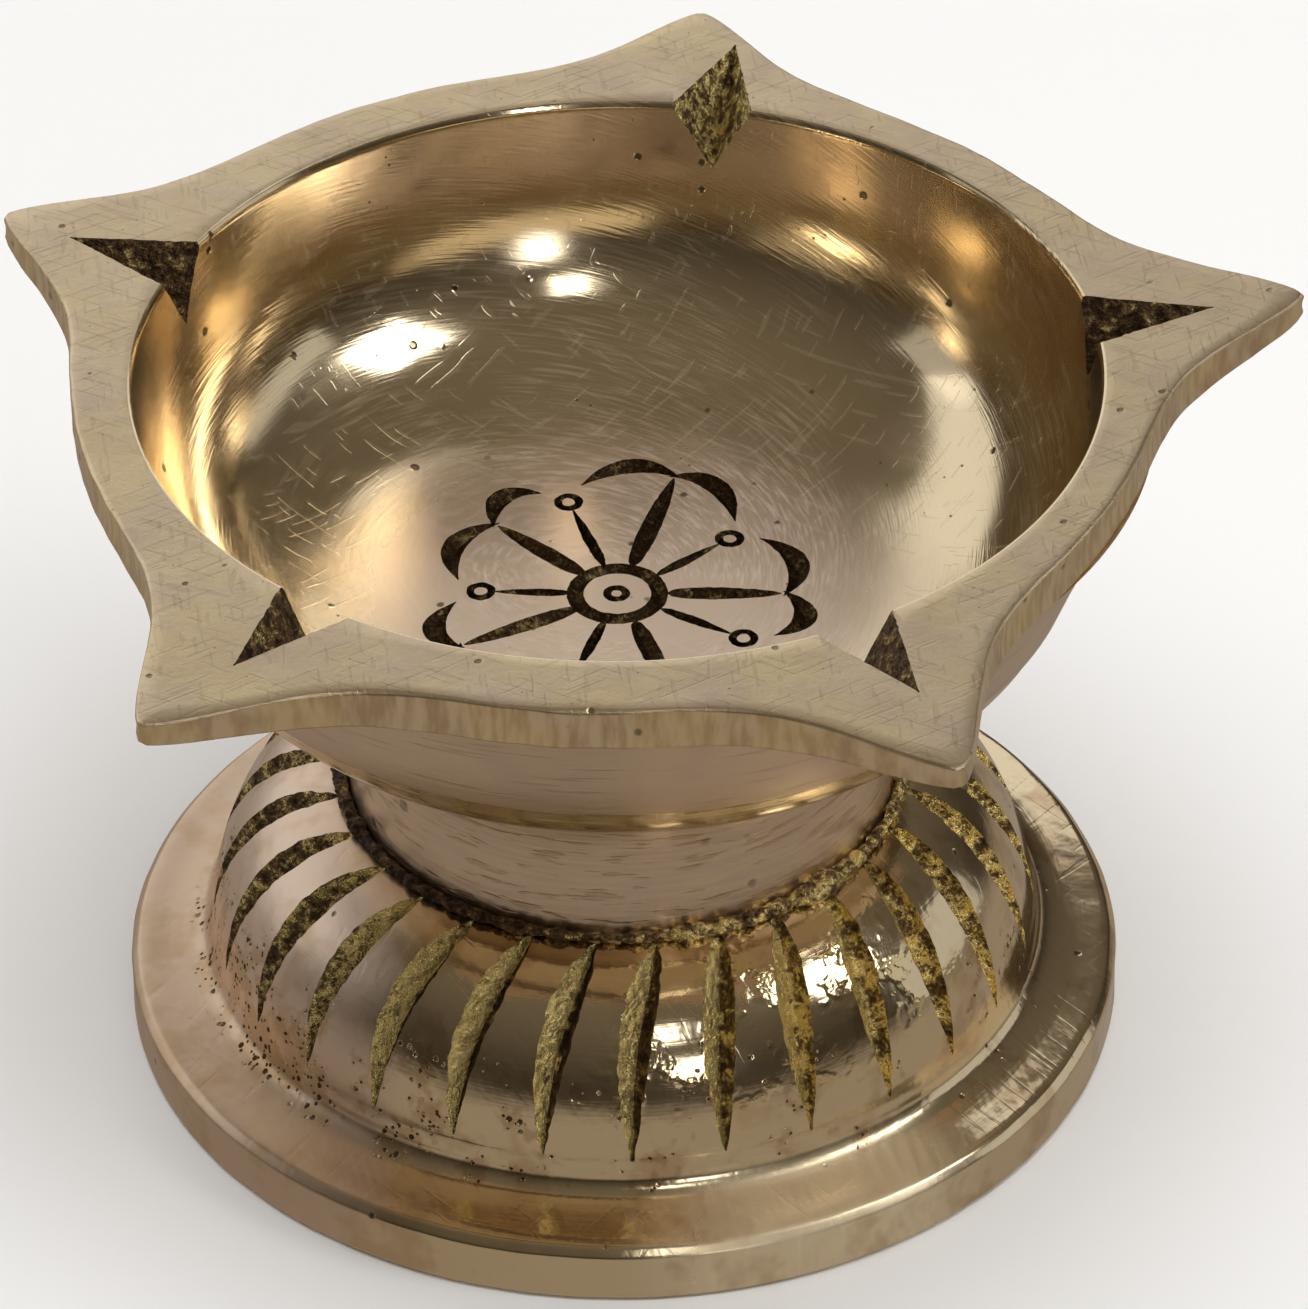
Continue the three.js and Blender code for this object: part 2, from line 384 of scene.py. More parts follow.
class Signal:
    """A socket that takes part in sums: each operator adds one Math node."""

    def __init__(self, graph, socket):
        self.graph = graph
        self.socket = socket

    def math(self, operation, first, second=0.0):
        return self.graph.node("ShaderNodeMath", {"operation": operation}, {0: first, 1: second})

    def __add__(self, other):
        return self.math("ADD", self, other)

    def __radd__(self, other):
        return self.math("ADD", other, self)

    def __sub__(self, other):
        return self.math("SUBTRACT", self, other)

    def __rsub__(self, other):
        return self.math("SUBTRACT", other, self)

    def __mul__(self, other):
        return self.math("MULTIPLY", self, other)

    def __rmul__(self, other):
        return self.math("MULTIPLY", other, self)

    def __truediv__(self, other):
        return self.math("DIVIDE", self, other)

    def __pow__(self, other):
        return self.math("POWER", self, other)


class Graph:
    """Adds nodes to a tree and links them."""

    def __init__(self, tree):
        self.tree = tree

    def node(self, kind, settings=None, inputs=None, output=0):
        """Adds a node: its settings first, then its inputs' values or links. Returns one output."""
        made = self.tree.nodes.new(kind)
        for name, value in (settings or {}).items():
            setattr(made, name, value)
        for name, value in (inputs or {}).items():
            self.feed(made.inputs[name], value)
        return Signal(self, made.outputs[output])

    def vector_math(self, operation, first, second, output=0):
        """A Vector Math node; numbers go on with the operators of Signal instead."""
        return self.node("ShaderNodeVectorMath", {"operation": operation}, {0: first, 1: second}, output)

    def feed(self, socket, value):
        """Links a signal to a socket, or sets the socket's own value."""
        if isinstance(value, Signal):
            self.tree.links.new(value.socket, socket)
        else:
            socket.default_value = value


class Finish(Graph):
    """A metal finish, whose patterns are laid out in millimetres about the lamp's axis."""

    def __init__(self, name):
        self.material = bpy.data.materials.new(name)
        self.material.use_nodes = True
        super().__init__(self.material.node_tree)
        self.tree.nodes.clear()
        at = self.node("ShaderNodeTexCoord", output="Object")
        self.place = self.node("ShaderNodeVectorMath", {"operation": "SCALE"}, {0: at, "Scale": 1 / MM})
        self.x, self.y, self.z = (
            self.node("ShaderNodeSeparateXYZ", {}, {0: self.place}, axis) for axis in range(3)
        )
        self.radius = (self.x * self.x + self.y * self.y) ** 0.5

    def vector(self, x, y, z):
        """A vector from three numbers or signals."""
        return self.node("ShaderNodeCombineXYZ", {}, {0: x, 1: y, 2: z})

    def noise(self, size, detail=3.0, rough=0.55, at=None, shift=0.0):
        """Cloudy noise between 0 and 1, in lumps of about that many millimetres."""
        away = (shift * 3.7, shift * 7.1, shift * 5.3)
        moved = self.vector_math("ADD", self.place if at is None else at, away)
        inputs = {"Vector": moved, "Scale": 1 / size, "Detail": detail, "Roughness": rough}
        return self.node("ShaderNodeTexNoise", {}, inputs)

    def streaks(self, turns, along, fine, detail=2.0):
        """Noise laid out by direction from the axis and by a distance along the metal.

        turns is how fine it is round the axis, and along over fine how fine it is the other way.
        """
        round_x = self.x / self.radius * turns
        round_y = self.y / self.radius * turns
        inputs = {"Vector": self.vector(round_x, round_y, along / fine), "Scale": 1.0, "Detail": detail}
        return self.node("ShaderNodeTexNoise", {}, inputs)

    def brushing(self, angle, length, spacing, shift):
        """Noise drawn out in one direction, as a wire brush leaves it."""
        turned = self.node(
            "ShaderNodeVectorRotate",
            {"rotation_type": "Z_AXIS"},
            {"Vector": self.place, "Angle": math.radians(angle)},
        )
        stretched = self.vector_math("MULTIPLY", turned, (1 / length, 1 / spacing, 0.3 / spacing))
        return self.noise(1.0, 0.0, 0.5, stretched, shift)

    def scratches(self, angle, length, spacing, width, shift):
        """Fine straight scratches in one direction: 1 on a scratch and 0 beside it."""
        crest = 0.74
        return self.step(self.brushing(angle, length, spacing, shift), crest - width, crest)

    def pits(self, spacing, size, share, shift=0.0):
        """Small round pits: 1 in a pit and 0 beside it; share of the cells hold one."""
        moved = self.vector_math("ADD", self.place, (shift, shift, shift))
        inputs = {"Vector": moved, "Scale": 1 / spacing}
        far = self.node("ShaderNodeTexVoronoi", {}, inputs, "Distance")
        cells = Signal(self, far.socket.node.outputs["Color"])
        chance = self.node("ShaderNodeSeparateColor", {}, {0: cells})
        held = self.step(chance, 1 - share, 1 - share + 0.05)
        return self.fall(far, size * 0.5, size) * held

    def patches(self, size, low, high, detail=2.0, rough=0.6, shift=0.0):
        """Noise made into patches: 0 where it is under low and 1 where it is over high."""
        return self.step(self.noise(size, detail, rough, shift=shift), low, high)

    def step(self, value, low, high):
        """A smooth step from 0 at low to 1 at high."""
        return self.node(
            "ShaderNodeMapRange",
            {"interpolation_type": "SMOOTHSTEP"},
            {"Value": value, "From Min": low, "From Max": high},
        )

    def fall(self, value, low, high):
        """A smooth step the other way, from 1 at low to 0 at high."""
        return 1 - self.step(value, low, high)

    def between(self, low, high, share):
        """A number that goes from low to high with a share from 0 to 1."""
        return share * (high - low) + low

    def layers(self, base, *coats):
        """A colour with others laid over it in turn, each given with its share."""
        settings = {"data_type": "RGBA", "clamp_factor": True}
        tone = (*base, 1.0)
        for coat, share in coats:
            tone = self.node("ShaderNodeMix", settings, {0: share, 6: tone, 7: (*coat, 1.0)}, 2)
        return tone

    def brass(self, colour, roughness, height, metallic=1.0):
        """Ends the finish: height is in millimetres and shows as relief."""
        relief = self.node("ShaderNodeBump", {}, {"Distance": MM, "Height": height})
        surface = self.node(
            "ShaderNodeBsdfPrincipled",
            {},
            {"Base Color": colour, "Metallic": metallic, "Roughness": roughness, "Normal": relief},
        )
        end = self.tree.nodes.new("ShaderNodeOutputMaterial")
        self.feed(end.inputs["Surface"], surface)
        return self.material


# Finishes.


def polished_bowl(finish, looks):
    """Inside of the bowl: brushed by hand, dull on its floor, with old oil in the pits."""
    along = finish.z + finish.radius
    cloud = finish.noise(9, 3, 0.6, shift=1)
    swirl = finish.streaks(6, along, 0.3)
    brush = finish.streaks(8, along + finish.x * 0.4 - finish.y * 0.2, 0.22, 1.0)
    hatched = finish.patches(8, 0.38, 0.6, 2, 0.5, 28)
    cross = finish.scratches(21, 5, 0.3, 0.02, 2) + finish.scratches(-58, 4, 0.35, 0.02, 5)
    pepper = finish.pits(0.9, 0.12, 0.4, 7.0) * finish.patches(6, 0.54, 0.62, 1, 0.5, 22)
    spots = finish.pits(2.1, 0.16, 0.2)
    haze = finish.step(cloud, 0.45, 0.7)
    floor_haze = finish.fall(finish.radius + cloud * 6, 15, 24)
    rosy = finish.between(0.6, 1.0, finish.step(brush, 0.35, 0.65))
    tone = finish.layers(
        looks.polished,
        (looks.satin, haze * 0.3),
        (looks.blush, floor_haze * rosy),
        (looks.patina, spots * 0.8 + pepper * 0.7),
    )
    marks = swirl * 0.002 + brush * (hatched + 0.3) * 0.007 - cross * 0.002
    height = marks - spots * 0.02 - pepper * 0.02 + cloud * 0.012
    roughness = finish.between(0.1, 0.16, haze) + floor_haze * 0.2 + swirl * 0.04
    dull = finish.step(brush, 0.4, 0.75) * (hatched + floor_haze) * 0.1 + cross * 0.05 + floor_haze * 0.14
    return finish.brass(tone, roughness, height, 1 - dull)


def ground_rim(finish, looks):
    """Top of the star: ground flat, dull and pale, with scratches and specks from use."""
    cloud = finish.noise(4, 4, 0.65, shift=3)
    grain = finish.noise(0.3, 2, 0.7, shift=4)
    lines = finish.scratches(17, 3, 0.25, 0.05, 1) + finish.scratches(71, 2, 0.3, 0.05, 6)
    lines = lines + finish.scratches(-44, 4, 0.25, 0.05, 8)
    spots = finish.pits(1.8, 0.15, 0.3)
    specks = finish.pits(0.6, 0.14, 0.14, 5.0)
    tone = finish.layers(
        looks.satin,
        (looks.blush, finish.step(cloud, 0.35, 0.75) * 0.7),
        (looks.gilt, finish.patches(7, 0.42, 0.64, 3, 0.6, 23) * 0.22),
        (looks.umber, specks * 0.45 + lines * 0.1),
        (looks.patina, spots * 0.6),
    )
    height = cloud * 0.06 + grain * 0.012 - lines * 0.006 - spots * 0.05 - specks * 0.02
    return finish.brass(tone, finish.between(0.32, 0.46, cloud) + grain * 0.08, height)


def filed_edge(finish, looks):
    """Outer edge of the star: filed up and down, darker in the marks."""
    marks = finish.streaks(60, finish.z, 2.5)
    cloud = finish.noise(3, 3, 0.6, shift=2)
    spots = finish.pits(1.8, 0.2, 0.35, 3.0)
    tone = finish.layers(
        looks.satin,
        (looks.worn, finish.step(marks, 0.35, 0.7) * 0.75),
        (looks.gilt, finish.patches(6, 0.4, 0.62, 2, 0.6, 24) * 0.3),
        (looks.patina, spots * 0.6),
    )
    height = marks * 0.05 + cloud * 0.08 - spots * 0.05
    return finish.brass(tone, finish.between(0.24, 0.42, marks), height)


def turned_drum(finish, looks):
    """Outside of the bowl: a dull turned wall over a polished roll."""
    along = finish.z + finish.radius
    lines = finish.streaks(2, along, 0.2)
    scores = finish.streaks(4, along, 0.6)
    cloud = finish.noise(5, 3, 0.6, shift=5)
    roll = finish.fall(finish.z, 34.2, 34.7)
    tone = finish.layers(
        looks.blush,
        (looks.satin, finish.step(cloud, 0.3, 0.7) * 0.6),
        (looks.polished, roll),
        (looks.worn, finish.step(scores, 0.56, 0.7) * 0.35),
    )
    height = lines * 0.012 + cloud * 0.05 + finish.step(scores, 0.6, 0.66) * 0.012
    return finish.brass(tone, finish.between(0.34, 0.14, roll) + lines * 0.08, height)


def turned_neck(finish, looks):
    """Neck collar: turned and left dull, with marks round it and a few dents."""
    along = finish.z + finish.radius
    lines = finish.streaks(3, along, 0.25)
    scores = finish.step(finish.streaks(5, along, 0.5), 0.56, 0.64)
    cloud = finish.noise(4, 3, 0.6, shift=6)
    dents = finish.pits(2.4, 0.22, 0.35, 1.0)
    tone = finish.layers(
        looks.blush,
        (looks.satin, finish.step(lines, 0.35, 0.7) * 0.7),
        (looks.worn, scores * 0.5),
        (looks.patina, dents * 0.4),
    )
    height = lines * 0.02 + cloud * 0.07 - dents * 0.04 - scores * 0.016
    return finish.brass(tone, finish.between(0.24, 0.38, cloud) + lines * 0.08, height)


def worn_foot(finish, looks):
    """Foot: dull and pinkish on one side and polished on the other, pitted where dome meets flange."""
    cloud = finish.noise(9, 3, 0.6, shift=8)
    patch = finish.noise(3, 3, 0.7, shift=9)
    side = finish.step(finish.x * 0.04 + cloud * 1.2 + patch * 0.3, 0.15, 0.6)
    lines = finish.streaks(6, finish.z - finish.radius, 0.3)
    brush = finish.brushing(64, 6, 0.4, 6)
    cross = finish.scratches(35, 6, 0.4, 0.12, 3) + finish.scratches(-62, 6, 0.6, 0.1, 4)
    spots = finish.pits(2.4, 0.12, 0.3)

    # Pits along the seam between the dome and the flange, thickest on the lamp's left.
    left = finish.fall(finish.x, -16, 4)
    seam = finish.step(finish.radius, 23.4, 25.2) * finish.fall(finish.radius, 26.4, 27.8)
    cluster = seam * finish.step(patch + left * 0.1, 0.55, 0.66)
    small = finish.pits(0.7, 0.34, 0.8, 4.0) + finish.pits(0.45, 0.34, 0.7, 9.0)
    pitted = finish.step(small * cluster, 0.1, 0.8)

    # Rough casting left on the front of the dome, and a burnished stretch of the flange below it.
    front = finish.step(finish.x, 0, 8) * finish.fall(finish.y, -14, -6)
    front = front * finish.fall(finish.radius, 24, 26.5)
    blister = front * finish.patches(2.6, 0.52, 0.62, 2, 0.6, 25)
    lumps = finish.noise(0.7, 2, 0.6, shift=26)
    burnished = finish.step(finish.x, 5, 13) * finish.fall(finish.x, 21, 27)
    burnished = burnished * finish.fall(finish.y, -19, -14) * finish.step(finish.radius, 25.6, 26.8)

    tone = finish.layers(
        looks.blush,
        (looks.polished, side),
        (looks.satin, finish.step(patch, 0.5, 0.8) * 0.4),
        (looks.worn, finish.patches(5, 0.5, 0.68, 3, 0.65, 27) * 0.6 + cluster * 0.7),
        (looks.gilt, blister * 0.35),
        (looks.worn, left * finish.step(finish.radius, 25, 27) * 0.4),
        (looks.patina, pitted * 0.85 + spots * 0.6),
    )
    marks = lines * 0.006 + brush * 0.006 - cross * 0.003
    knocks = pitted * 0.1 + spots * 0.04
    height = marks + cloud * 0.1 + patch * 0.02 + lumps * blister * 0.07 - knocks
    roughness = finish.between(0.34, 0.1, side) + patch * 0.06 + pitted * 0.3 + burnished * 0.2
    return finish.brass(tone, roughness, height, 1 - burnished * (0.2 + brush * 0.3))


def cast_grains(finish, looks, dirt_share, shade):
    """As-cast metal: coarse bright grains with dark grime between, plus painted shade that darkens it
    where shade is high and lightens it where shade is below zero.
    """
    grain = finish.noise(0.28, 3, 0.75, shift=12)
    lumps = finish.noise(0.8, 1, 0.5, shift=17)
    patch = finish.noise(1.8, 2, 0.6, shift=13)
    # Grime between the grains, with the painted shade given as shade added on top.
    dirt_and_shade = (0.5 - grain) * 1.9 + (0.5 - lumps) * 1.4 + (patch - 0.5) * 0.9 + dirt_share + shade
    dark = finish.step(dirt_and_shade, 0.3, 0.8)
    soot_and_shade = finish.step(dirt_and_shade, 0.75, 1.25)
    tone = finish.layers(looks.gilt, (looks.umber, dark), (looks.patina, soot_and_shade))
    return finish.brass(tone, finish.between(0.11, 0.42, dark), grain * 0.2 + lumps * 0.35, 0.84)


def flute_cast(finish, looks):
    """Down in the flutes: bright grains with grime between, and painted shade on each one's steep side and
    on the lamp's left.
    """
    normal = finish.node("ShaderNodeNewGeometry", output="Normal")
    around = finish.vector(finish.y / finish.radius * -1, finish.x / finish.radius, 0.0)
    facing = finish.vector_math("DOT_PRODUCT", normal, around, 1)
    # Painted shade: each flute's steep side is darkened, less so towards the lamp's right, and the lamp's
    # left is darkened as well.
    steep = finish.fall(facing, -0.35, 0.1) * (0.95 - finish.step(finish.x, 2, 14) * 0.5)
    return cast_grains(finish, looks, 0.12, steep + finish.fall(finish.x, -19, -8) * 0.6)


def notch_cast(finish, looks):
    """Wick notches: rough and dark, except the one behind, which is painted lighter as a painted
    highlight.
    """
    return cast_grains(finish, looks, 0.95, finish.step(finish.y, 18, 26) * -0.35)


def braze_cast(finish, looks):
    """The brazing round the neck: lumpy and gilt, and browner on the lamp's left."""
    return cast_grains(finish, looks, 0.6, finish.fall(finish.x, -10, 6) * 0.6)


def dark_groove(finish, looks):
    """Chased lines: dark old patina, a little browner on the rough spots."""
    grain = finish.noise(0.3, 3, 0.7, shift=14)
    glint = finish.step(finish.noise(1.2, 2, 0.5, shift=15) + grain * 0.8, 0.9, 1.15)
    tone = finish.layers(
        looks.patina, (looks.umber, finish.step(grain, 0.45, 0.7) * 0.6), (looks.gilt, glint * 0.2)
    )
    return finish.brass(tone, finish.between(0.42, 0.3, glint), grain * 0.14)


def dull_fastener(finish, looks):
    """Stud, washer and nut: plain turned brass gone dull."""
    lines = finish.streaks(4, finish.z + finish.radius, 0.15)
    cloud = finish.noise(1.5, 3, 0.6, shift=16)
    tone = finish.layers(looks.worn, (looks.patina, finish.step(cloud, 0.5, 0.8) * 0.5))
    return finish.brass(tone, finish.between(0.3, 0.5, cloud), lines * 0.008 + cloud * 0.03)


FINISHES = {
    make.__name__: make
    for make in (
        polished_bowl, ground_rim, filed_edge, turned_drum, turned_neck, worn_foot,
        flute_cast, notch_cast, braze_cast, dark_groove, dull_fastener,
    )
}


def finish_named(name):
    """The finish of that name, made the first time it is asked for."""
    made = bpy.data.materials.get(name)
    return made or FINISHES[name](Finish(name), bpy.context.scene.diya_looks)


# The bowl.


def rim_radius(angles):
    """How far out the star's edge lies at each angle, in degrees."""
    reach = np.zeros(len(angles))
    for i, (start, _, _, edge_after) in enumerate(STAR_POINTS):
        following = STAR_POINTS[(i + 1) % len(STAR_POINTS)]
        sweep = (following[0] - start) % 360
        share = ((angles - start) % 360) / sweep
        inside = share < 1
        before = STAR_POINTS[i - 1][3]
        neighbour = np.where(share < 0.5, before, following[3])
        blend = np.cos(np.pi * share) ** 2 / 2
        reach[inside] = (edge_after + (neighbour - edge_after) * blend)[inside]
    edge = reach.copy()
    for start, tip, _, _ in STAR_POINTS:
        apart = np.abs((angles - start + 540) % 360 - 180)
        reach = reach + (tip - edge) * np.exp(-((apart / POINT_SPREAD) ** POINT_SHARPNESS))
    return reach


def under_plate(radius):
    """Height of the star plate's underside, which rises a little outwards."""
    return RIM_TOP - RIM_THICKNESS + np.maximum(0, radius - 33) * 0.12


def bowl_wall(steps):
    """The bowl's inner wall: nearly upright at the rim, then one easy curve down to the floor."""
    squareness = 2 / 2.6
    points = []
    for turn in math.pi / 2 * np.linspace(0.02, 1, steps) ** 1.4:
        out = (BOWL_RADIUS - 0.1 - FLOOR_RADIUS) * math.cos(turn) ** squareness
        points.append((FLOOR_RADIUS + out, RIM_TOP - BOWL_DEPTH * math.sin(turn) ** squareness))
    points[-1] = (FLOOR_RADIUS, BOWL_FLOOR)
    return points


def bowl_rows(sides):
    """Every turn of points on the bowl, from the boss under it to the middle of its floor."""
    drum = Profile((0, NECK_TOP + 0.3)).to(
        (HOLE_RADIUS, NECK_TOP + 0.3),
        (HOLE_RADIUS, BOSS_BOTTOM),
        (BOSS_RADIUS, BOSS_BOTTOM),
        (BOSS_RADIUS, NECK_TOP),
        (NECK_RADIUS + 0.4, NECK_TOP),
        band=UNDER,
    ).rounded({2: 0.4, 3: 0.4})
    roll = [(17.4, 26.1), (18, 26.9), (20.5, 28.1), (23, 29.7), (25.05, 31.15), (26.55, 32.7)]
    drum.to(*curve_through([*roll, (27.55, 34.45)], 6)[1:], band=UNDER)
    wall = [(27.7, 34.65), (28.7, 37.3), (29.8, 40), (30.7, 42.6), (31.2, 43.5), (PLATE_ROOT, 43.9)]
    drum.to(*wall, band=UNDER)
    rows = [turn_row(radius, height, sides) for radius, height in drum.points]
    bands = list(drum.bands)

    def add(radius, height, band):
        rows.append(turn_row(radius, height, sides))
        bands.append(band)

    edge = rim_radius(np.arange(sides) * 360 / sides)
    outline = turn_row(edge, 0.0, sides)
    edge = edge - 0.10 * np.abs(ripple(outline, 2.2, 3)) - 0.10 * np.maximum(0, ripple(outline, 6, 8))
    lower_cut = 0.35 + 0.15 * ripple(outline, 3, 11)
    upper_cut = 0.3 + 0.16 * ripple(outline, 4, 17)
    hollow = 0.08 + 0.05 * ripple(outline, 5, 23)
    under = under_plate(edge)
    for share in np.linspace(0, 1, 9)[1:]:
        radius = PLATE_ROOT * (1 - share) + (edge - lower_cut) * share
        add(radius, np.maximum(under_plate(radius), RIM_TOP - RIM_THICKNESS), UNDER)
    for turn in np.radians([30, 60, 90]):
        add(edge - lower_cut * (1 - math.sin(turn)), under + lower_cut * (1 - math.cos(turn)), EDGE)
    for share in (0.33, 0.67):
        add(edge - hollow, under + lower_cut + (RIM_TOP - upper_cut - under - lower_cut) * share, EDGE)
    for turn in np.radians([0, 30, 60, 90]):
        band = EDGE if turn < 1 else TOP
        add(edge - upper_cut * (1 - math.cos(turn)), RIM_TOP - upper_cut * (1 - math.sin(turn)), band)
    for share in np.linspace(0, 1, 8)[1:]:
        add((edge - upper_cut) * (1 - share) + (BOWL_RADIUS + 0.18) * share, RIM_TOP, TOP)
    inner = [(BOWL_RADIUS + 0.04, RIM_TOP - 0.05), (BOWL_RADIUS - 0.05, RIM_TOP - 0.22), *bowl_wall(64)]
    for radius, height in [*inner, *((FLOOR_RADIUS * share, BOWL_FLOOR) for share in (0.6, 0.2, 0))]:
        add(radius, height, INSIDE)
    return rows, bands


def stroke(start, end, wide, seed, blunt=0.55, steps=26):
    """One straight chased stroke on the floor, pointed at both ends and widest near its start."""
    share = np.linspace(0, 1, steps)
    path = np.array([np.array(start) * (1 - s) + np.array(end) * s for s in share])
    swell = np.maximum(0.06, np.sin(np.pi * share ** 0.72) ** blunt)
    return chased(path, swell * wide, swell * 0.55, seed)


def chased(path, half_width, depth, seed, closed=False):
    """A chased groove on the bowl's floor along flat points of x and y."""
    flat = np.column_stack([path, np.full(len(path), BOWL_FLOOR)])
    section = [(-1.15, -1), (-1, 0), (-0.62, 0.62), (0, 1), (0.62, 0.62), (1, 0), (1.15, -1)]
    return gouge("stroke", flat, (0.0, 0.0, 1.0), half_width, depth, section, 0.3, 0.05, seed, closed)


def polar(angle, radius):
    """The flat point at that angle in degrees and that radius."""
    return radius * math.cos(math.radians(angle)), radius * math.sin(math.radians(angle))


def loop(centre, radius, half_width, seed, sides=28):
    """A round chased groove."""
    turn = np.linspace(0, 2 * math.pi, sides, endpoint=False)
    path = np.column_stack([centre[0] + radius * np.cos(turn), centre[1] + radius * np.sin(turn)])
    depth = np.full(sides, 0.5)
    return chased(path, np.full(sides, half_width), depth, seed, True)


def crescent(first, last, bulge, wide, seed, steps=24):
    """A petal's end: a curved stroke that is thick in the middle and bulges outwards."""
    share = np.linspace(0, 1, steps)[:, None]
    first = np.array(first)
    last = np.array(last)
    middle = (first + last) / 2
    top = middle + middle / np.linalg.norm(middle) * bulge
    path = first * (1 - share) ** 2 + 2 * top * share * (1 - share) + last * share ** 2
    swell = np.maximum(0.05, np.sin(np.pi * share[:, 0]) ** 0.9)
    return chased(path, swell * wide, swell ** 0.6 * 0.6, seed)


def flower_cutters():
    """The chased flower, as cutters grouped so that none in a group touches another."""
    ring = 2.9
    rings = [loop((-0.15, 0), 2.58, 0.52, 1.0, 60), loop((-0.2, 0), 0.58, 0.26, 2.0)]
    long, short, loops, first, last = ([] for _ in range(5))
    for i, (angle, reach) in enumerate(LONG_STROKES):
        long.append(stroke(polar(angle + 1, ring), polar(angle, reach), 0.62, 3.0 + i))
    for i, (angle, reach) in enumerate(LOOP_STROKES):
        short.append(stroke(polar(angle, ring), polar(angle, reach - 0.75), 0.37, 9.0 + i, 0.7))
        loops.append(loop(polar(angle, reach), 0.66, 0.25, 15.0 + i))
        start, start_reach = LONG_STROKES[i]
        end, end_reach = LONG_STROKES[(i + 1) % len(LONG_STROKES)]
        near = (polar(start - 1.5, start_reach + 0.1), polar(angle - 6.5, reach + 1.5))
        far = (polar(angle + 6.5, reach + 1.5), polar(end + 1.5, end_reach + 0.1))
        first.append(crescent(*near, 3.3, 0.74, 21.0 + i))
        last.append(crescent(*far, 3.3, 0.74, 27.0 + i))
    groups = {"rings": rings, "long": long, "short": short, "loops": loops, "first": first, "last": last}
    material = finish_named("dark_groove")
    return [joined("flower_" + name, meshes, material) for name, meshes in groups.items()]


def notch_cutters(sizes):
    """The five wick notches, each three-sided and deepest at the bowl's edge."""
    section = [(-1.25, -1), *((share, 1 - abs(share)) for share in np.linspace(-1, 1, 15)), (1.25, -1)]
    reach = np.linspace(BOWL_RADIUS - 4, BOWL_RADIUS + sizes.notch_length, 40)
    grow = np.maximum(0.02, (reach[-1] - reach) / sizes.notch_length)
    half_width = grow * sizes.notch_width / 2
    depth = grow * sizes.notch_depth
    meshes = []
    for i, (_, _, angle, _) in enumerate(STAR_POINTS):
        path = [(*polar(angle, radius), RIM_TOP) for radius in reach]
        meshes.append(gouge(
            "notch", path, (0.0, 0.0, 1.0), half_width, depth, section, 1.0, 0.13, 40.0 + i
        ))
    return joined("notches", meshes, finish_named("notch_cast"))


# The foot.


def dome_point(climb, turn):
    """A point on the foot's dome, and the way out of the metal there; angles in radians."""
    wide = DOME_RADIUS - NECK_RADIUS
    high = NECK_BOTTOM - DOME_BOTTOM
    radius = NECK_RADIUS + wide * np.cos(climb)
    height = DOME_BOTTOM + high * np.sin(climb)
    out = np.column_stack([np.cos(climb) / wide, np.sin(climb) / high])
    out /= np.linalg.norm(out, axis=1)[:, None]
    point = np.column_stack([radius * np.cos(turn), radius * np.sin(turn), height])
    up = np.column_stack([out[:, 0] * np.cos(turn), out[:, 0] * np.sin(turn), out[:, 1]])
    return point, up


def flute_mesh(sizes):
    """The cutter for one flute: a leaning leaf, sloped on one side and steep on the other."""
    share = np.linspace(0, 1, 64)
    climb = np.radians(86 - 78 * share)
    turn = sizes.flute_lean * share + math.radians(-2) * np.sin(np.pi * share)
    path, up = dome_point(climb, turn)
    swell = np.maximum(0.04, np.sin(np.pi * share ** 0.85) ** 0.75)
    section = [
        (-1.2, -1), (-1, 0), (-0.7, 0.25), (-0.35, 0.52), (0, 0.82), (0.25, 1), (0.5, 0.92),
        (0.78, 0.6), (0.95, 0.25), (1, 0), (1.1, -1),
    ]
    half_width = swell * sizes.flute_width / 2
    return gouge("flute", path, up, half_width, swell ** 0.8 * sizes.flute_depth, section, 0.6)


